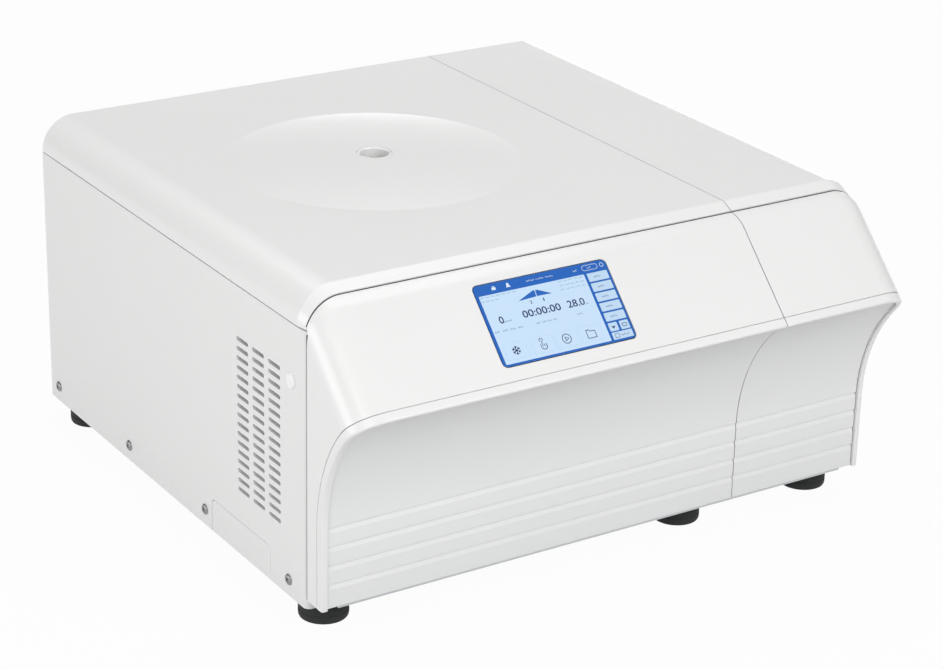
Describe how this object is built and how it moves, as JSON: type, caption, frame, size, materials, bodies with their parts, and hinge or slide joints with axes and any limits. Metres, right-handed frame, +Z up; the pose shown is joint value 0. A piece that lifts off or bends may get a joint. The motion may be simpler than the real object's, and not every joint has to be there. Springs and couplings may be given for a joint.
{
  "type": "refrigerated centrifuge",
  "caption": "Low white bench centrifuge with a cooled bowl, swing-bucket rotor, wide hinged lid with a viewing port and a sloping touch screen above a hollow front.",
  "frame": {"origin": "on the bench, in the middle of the outline seen from above", "axes": "+X to the user's right, +Y to the back, +Z up; the front faces -Y"},
  "size_m": [0.675, 0.6995, 0.3626],
  "materials": {
    "painted_steel": "satin powder coat",
    "cover_plastic": "satin moulded",
    "cove_plastic": "satin moulded, very light grey",
    "display_glass": "lit touch screen",
    "port_glass": "clear",
    "stainless": "brushed",
    "zinc_steel": "zinc plated sheet",
    "cast_frame": "painted",
    "anodised": "anodised",
    "foot_rubber": "matt black",
    "foam": "rigid foam",
    "copper": "bare tube",
    "black_plastic": "moulded",
    "white_plastic": "moulded",
    "screw_steel": "plated",
    "board": "circuit board"
  },
  "bodies": {
    "cabinet": {"fascia_left": "cover_plastic", "fascia_right": "cover_plastic", "lip_trim_left": "cover_plastic", "lip_trim_right": "cover_plastic", "kick_panel_left": "cove_plastic", "kick_panel_right": "cove_plastic", "display_glass": "display_glass", "display_module": "black_plastic", "hinge_brackets": "zinc_steel", "hinge_pins": "screw_steel", "lock_housings": "black_plastic", "lock_motors": "zinc_steel", "right_top_cover": "cover_plastic", "left_side_panel": "painted_steel", "right_side_panel": "painted_steel", "access_cover": "painted_steel", "rear_panel": "painted_steel", "front_bulkhead": "zinc_steel", "base_pan": "zinc_steel", "partition_plate": "zinc_steel", "deck_plate": "painted_steel", "feet": "foot_rubber", "foot_bolts": "screw_steel", "side_screws": "screw_steel", "chamber_bowl": "stainless", "chamber_gasket": "foot_rubber", "chamber_insulation": "foam", "evaporator_coil": "copper", "guard_ring": "zinc_steel", "drive_motor": "cast_frame", "rubber_mounts": "foot_rubber", "shaft_boot": "foot_rubber", "compressor": "black_plastic", "condenser": "anodised", "fan_shroud": "zinc_steel", "fan_motor": "black_plastic", "power_supply": "anodised", "control_board": "board", "power_inlet": "black_plastic", "rocker_frame": "black_plastic"},
    "lid": {"lid_shell": "cover_plastic", "lid_liner": "stainless", "lid_insulation": "foam", "lid_rails": "zinc_steel", "port_ring": "cover_plastic", "port_window": "port_glass", "lid_hinge_arms": "zinc_steel", "lock_strikers": "stainless"},
    "rotor": {"drive_shaft": "stainless", "rotor_yoke": "anodised", "rotor_nut": "anodised"},
    "bucket_1": {"bucket_1": "anodised"},
    "bucket_2": {"bucket_2": "anodised"},
    "bucket_3": {"bucket_3": "anodised"},
    "bucket_4": {"bucket_4": "anodised"},
    "lock_bolt_left": {"lock_bolt_left": "stainless"},
    "lock_bolt_right": {"lock_bolt_right": "stainless"},
    "release_plug": {"release_plug": "white_plastic"},
    "rocker_switch": {"rocker_switch": "black_plastic"},
    "condenser_fan": {"condenser_fan": "black_plastic"}
  },
  "joints": [
    {"name": "lid_hinge", "type": "hinge", "parent": "cabinet", "child": "lid", "pos_m": [-0.077, 0.3413, 0.3417], "axis": [-1, 0, 0], "range_deg": [0, 75]},
    {"name": "rotor_spin", "type": "hinge", "parent": "cabinet", "child": "rotor", "pos_m": [-0.083, 0.0528, 0.235], "axis": [0, 0, 1], "continuous": true},
    {"name": "bucket_1_swing", "type": "hinge", "parent": "rotor", "child": "bucket_1", "pos_m": [0.002, 0.0528, 0.235], "axis": [0, 1, 0], "range_deg": [-90, 0]},
    {"name": "bucket_2_swing", "type": "hinge", "parent": "rotor", "child": "bucket_2", "pos_m": [-0.083, 0.1378, 0.235], "axis": [-1, 0, 0], "range_deg": [-90, 0]},
    {"name": "bucket_3_swing", "type": "hinge", "parent": "rotor", "child": "bucket_3", "pos_m": [-0.168, 0.0528, 0.235], "axis": [0, -1, 0], "range_deg": [-90, 0]},
    {"name": "bucket_4_swing", "type": "hinge", "parent": "rotor", "child": "bucket_4", "pos_m": [-0.083, -0.0322, 0.235], "axis": [1, 0, 0], "range_deg": [-90, 0]},
    {"name": "lock_left_slide", "type": "slide", "parent": "cabinet", "child": "lock_bolt_left", "axis": [-1, 0, 0], "range_m": [0, 0.014]},
    {"name": "lock_right_slide", "type": "slide", "parent": "cabinet", "child": "lock_bolt_right", "axis": [-1, 0, 0], "range_m": [0, 0.014]},
    {"name": "release_plug_pull", "type": "slide", "parent": "cabinet", "child": "release_plug", "axis": [-1, 0, 0], "range_m": [0, 0.02]},
    {"name": "rocker_press", "type": "hinge", "parent": "cabinet", "child": "rocker_switch", "pos_m": [-0.185, 0.3403, 0.085], "axis": [-1, 0, 0], "range_deg": [0, 18]},
    {"name": "fan_spin", "type": "hinge", "parent": "cabinet", "child": "condenser_fan", "pos_m": [0.267, -0.01, 0.165], "axis": [1, 0, 0], "continuous": true}
  ],
  "couplings": [
    {"joint": "bucket_2_swing", "follows": "bucket_1_swing", "ratio": 1},
    {"joint": "bucket_3_swing", "follows": "bucket_1_swing", "ratio": 1},
    {"joint": "bucket_4_swing", "follows": "bucket_1_swing", "ratio": 1},
    {"joint": "lock_right_slide", "follows": "lock_left_slide", "ratio": 1}
  ]
}
